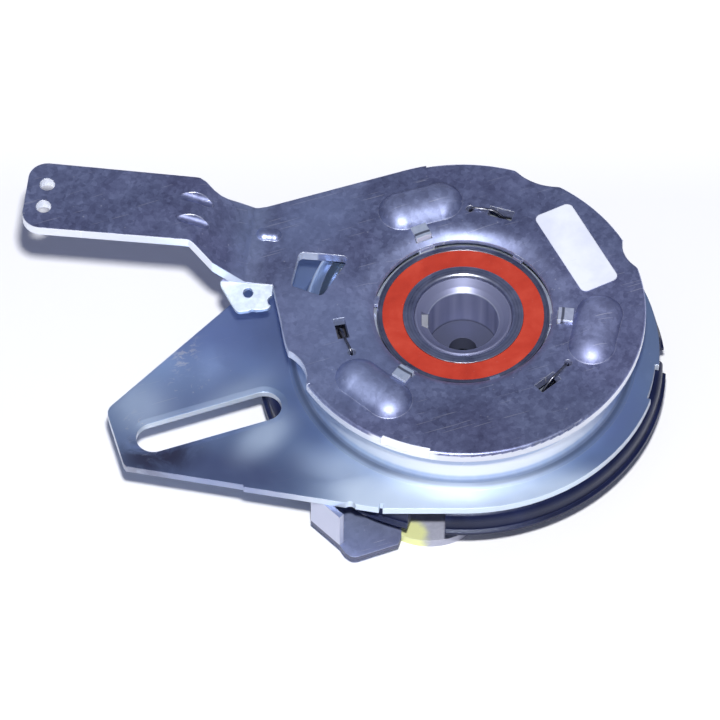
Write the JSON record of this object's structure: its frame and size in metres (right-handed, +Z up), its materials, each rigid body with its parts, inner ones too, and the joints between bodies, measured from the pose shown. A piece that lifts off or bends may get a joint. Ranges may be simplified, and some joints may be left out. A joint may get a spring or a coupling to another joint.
{
  "type": "mower blade clutch",
  "caption": "Blade clutch for a walk-behind mower: a lever plate with a raised cable arm over a slotted torque arm, a keyed crankshaft hub in a sealed ball bearing, and a blade carrier below",
  "frame": {"origin": "centre of the mouth of the hub's crankshaft bore", "axes": "+Z up along the crankshaft, out of the bore's mouth towards the engine; -X along the slotted torque arm"},
  "size_m": [0.2128, 0.1737, 0.0685],
  "materials": {
    "zinc": "zinc plated sheet, bluish, mottled spangle",
    "bright_zinc": "bright zinc plated sheet",
    "dark_zinc": "dull zinc plated steel",
    "carrier_steel": "light grey coated steel with a yellow paint mark",
    "hub_steel": "turned sintered steel",
    "bearing_steel": "ground and polished",
    "cage_steel": "pressed steel",
    "spring_steel": "oiled spring steel",
    "orange_seal": "orange-red moulded rubber, satin",
    "black_seal": "black moulded rubber",
    "black_plastic": "black moulded plastic, satin gloss",
    "friction": "moulded friction lining, matte",
    "label": "white film label, blank"
  },
  "bodies": {
    "torque_body": {"torque_plate": "zinc", "brake_plate": "dark_zinc", "brake_pads": "friction", "guard_segments": "black_plastic", "side_bracket": "dark_zinc", "return_springs": "spring_steel"},
    "ramp_ball_set": {"ramp_balls": "bearing_steel"},
    "lifter": {"upper_bearing_outer_ring": "bearing_steel", "upper_bearing_seal_top": "orange_seal", "upper_bearing_seal_bottom": "orange_seal"},
    "lever": {"lever_plate": "zinc", "bearing_cup": "bright_zinc", "label": "label"},
    "hub": {"crank_hub": "hub_steel", "upper_bearing_inner_ring": "bearing_steel", "drive_disc": "dark_zinc", "drive_lining": "friction", "bearing_spacer": "hub_steel", "hub_circlip": "spring_steel", "lower_bearing_inner_ring": "bearing_steel"},
    "upper_cage": {"upper_bearing_balls": "bearing_steel", "upper_bearing_cage": "cage_steel"},
    "carrier": {"blade_carrier": "carrier_steel", "spring_retainer": "dark_zinc", "wave_spring": "spring_steel", "carrier_circlip": "spring_steel", "lower_bearing_outer_ring": "bearing_steel", "lower_bearing_seal_top": "black_seal", "lower_bearing_seal_bottom": "black_seal"},
    "lower_cage": {"lower_bearing_balls": "bearing_steel", "lower_bearing_cage": "cage_steel"},
    "driven": {"driven_disc": "dark_zinc"}
  },
  "joints": [
    {"name": "ramp_lift", "type": "slide", "parent": "torque_body", "child": "lifter", "axis": [0, 0, 1], "range_m": [0, 0.0017]},
    {"name": "lever_turn", "type": "hinge", "parent": "lifter", "child": "lever", "pos_m": [0, 0, 0], "axis": [0, 0, 1], "range_deg": [0, 24], "stiffness_Nm_per_rad": 5, "springref_deg": -17.19, "deforming": ["return_springs"]},
    {"name": "ramp_ball_roll", "type": "hinge", "parent": "torque_body", "child": "ramp_ball_set", "pos_m": [0, 0, 0], "axis": [0, 0, 1], "range_deg": [0, 12]},
    {"name": "shaft_spin", "type": "hinge", "parent": "lifter", "child": "hub", "pos_m": [0, 0, 0], "axis": [0, 0, 1], "continuous": true},
    {"name": "upper_cage_spin", "type": "hinge", "parent": "lifter", "child": "upper_cage", "pos_m": [0, 0, 0], "axis": [0, 0, 1], "continuous": true},
    {"name": "blade_spin", "type": "hinge", "parent": "hub", "child": "carrier", "pos_m": [0, 0, 0], "axis": [0, 0, 1], "continuous": true},
    {"name": "lower_cage_spin", "type": "hinge", "parent": "hub", "child": "lower_cage", "pos_m": [0, 0, 0], "axis": [0, 0, 1], "continuous": true},
    {"name": "clutch_close", "type": "slide", "parent": "carrier", "child": "driven", "axis": [0, 0, -1], "range_m": [0, 0.00048], "deforming": ["wave_spring"]}
  ],
  "couplings": [
    {"joint": "ramp_lift", "follows": "lever_turn", "m_per_rad": 0.004058},
    {"joint": "ramp_ball_roll", "follows": "lever_turn", "ratio": 0.5},
    {"joint": "clutch_close", "follows": "lever_turn", "m_per_rad": 0.0011458},
    {"joint": "upper_cage_spin", "follows": "shaft_spin", "ratio": 0.4175},
    {"joint": "lower_cage_spin", "follows": "blade_spin", "ratio": 0.5649}
  ]
}
